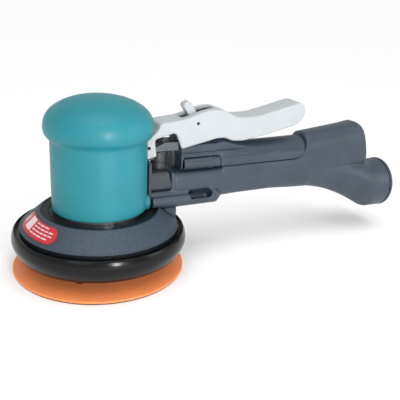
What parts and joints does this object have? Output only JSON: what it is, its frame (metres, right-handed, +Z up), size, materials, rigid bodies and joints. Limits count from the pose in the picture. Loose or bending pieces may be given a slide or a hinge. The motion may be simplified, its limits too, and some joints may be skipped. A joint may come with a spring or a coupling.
{
  "type": "orbital sander",
  "caption": "Two-handed air-powered random-orbit sander with a round pad, dust shroud and skirt, mushroom-shaped grip cover, long handle with throttle lever, lock-off tab, and a hose port.",
  "frame": {"origin": "where the motor axis meets the pad's working face, which lies on the work at z 0", "axes": "+X runs along the handle to its rear end, +Y to the user's left when the tool is pushed forward towards -X seen from above, and +Z up along the motor axis"},
  "size_m": [0.3288, 0.1297, 0.13],
  "materials": {
    "teal_cover": "soft satin grip cover",
    "aluminium": "machined",
    "black_casting": "satin black paint",
    "steel": "turned",
    "bearing_steel": "ground",
    "handle_composite": "satin glass-filled moulding",
    "shroud_plastic": "fine moulded texture",
    "skirt_rubber": "glossy",
    "seal_rubber": "matt",
    "pad_urethane": "matt orange urethane",
    "hook_face": "hook pile",
    "label_film": "printed film, no text",
    "lever_aluminium": "light grey satin",
    "blade_fibre": "phenolic fibre",
    "brass": "machined",
    "black_barrel": "semi-gloss black",
    "felt": "felt"
  },
  "bodies": {
    "body": {"motor_housing": "aluminium", "grip_cover": "teal_cover", "cylinder_liner": "steel", "front_end_plate": "steel", "rear_end_plate": "steel", "lock_ring": "steel", "front_bearing_outer_race": "bearing_steel", "rear_bearing_outer_race": "bearing_steel", "shroud": "shroud_plastic", "shroud_clamp_ring": "steel", "skirt": "skirt_rubber", "label_plate": "label_film", "dust_spout": "handle_composite", "spout_seal": "seal_rubber", "handle_mount": "black_casting", "valve_body": "black_casting", "throttle_valve_sleeve": "black_barrel", "valve_seat": "brass", "valve_cap": "aluminium", "valve_spring": "steel", "handle_shell": "handle_composite", "handle_saddle": "handle_composite", "air_tube": "handle_composite", "exhaust_tube": "handle_composite", "handle_bolt_right": "steel", "handle_bolt_left": "steel", "hose_port_ring": "handle_composite", "inlet_bushing": "steel", "muffler": "felt", "lever_pivot_pin": "steel"},
    "rotor": {"rotor": "steel", "rotor_blade_1": "blade_fibre", "rotor_blade_2": "blade_fibre", "rotor_blade_3": "blade_fibre", "rotor_blade_4": "blade_fibre", "rotor_blade_5": "blade_fibre", "rotor_key": "steel", "shaft_balancer": "steel", "front_bearing_inner_race": "bearing_steel", "rear_bearing_inner_race": "bearing_steel", "spindle_bearing_outer_race": "bearing_steel"},
    "pad": {"pad": "pad_urethane", "hook_face": "hook_face", "pad_backing_plate": "steel", "spindle": "steel", "spindle_bearing_inner_race": "bearing_steel"},
    "throttle_lever": {"throttle_lever": "lever_aluminium", "lock_off_pin": "steel", "lock_off_spring": "steel"},
    "lock_off_lever": {"lock_off_lever": "lever_aluminium"},
    "valve_stem": {"valve_stem": "steel", "valve_tip": "seal_rubber"},
    "speed_regulator": {"speed_regulator": "black_barrel"}
  },
  "joints": [
    {"name": "rotor_spin", "type": "hinge", "parent": "body", "child": "rotor", "pos_m": [0, 0, 0.075], "axis": [0, 0, 1], "continuous": true},
    {"name": "pad_spin", "type": "hinge", "parent": "rotor", "child": "pad", "pos_m": [0, 0.0024, 0.02], "axis": [0, 0, 1], "continuous": true},
    {"name": "throttle_lever_pivot", "type": "hinge", "parent": "body", "child": "throttle_lever", "pos_m": [0.0338, 0, 0.0917], "axis": [0, 1, 0], "range_deg": [0, 3.5], "stiffness_Nm_per_rad": 2, "springref_deg": -17.19},
    {"name": "lock_off_pivot", "type": "hinge", "parent": "throttle_lever", "child": "lock_off_lever", "pos_m": [0.0725, 0, 0.1076], "axis": [0, 1, 0], "range_deg": [-30, 0], "stiffness_Nm_per_rad": 0.01, "springref_deg": 17.19},
    {"name": "valve_travel", "type": "slide", "parent": "body", "child": "valve_stem", "axis": [0, 0, 1], "range_m": [-0.0008, 0], "stiffness_N_per_m": 800, "springref_m": 0.002, "deforming": ["valve_spring"]},
    {"name": "regulator_turn", "type": "hinge", "parent": "body", "child": "speed_regulator", "pos_m": [0.0554, 0, 0.08], "axis": [0, 0, 1], "range_deg": [0, 90]}
  ],
  "couplings": [
    {"joint": "lock_off_pivot", "follows": "throttle_lever_pivot", "ratio": -8.5},
    {"joint": "valve_travel", "follows": "throttle_lever_pivot", "m_per_rad": -0.0118}
  ]
}
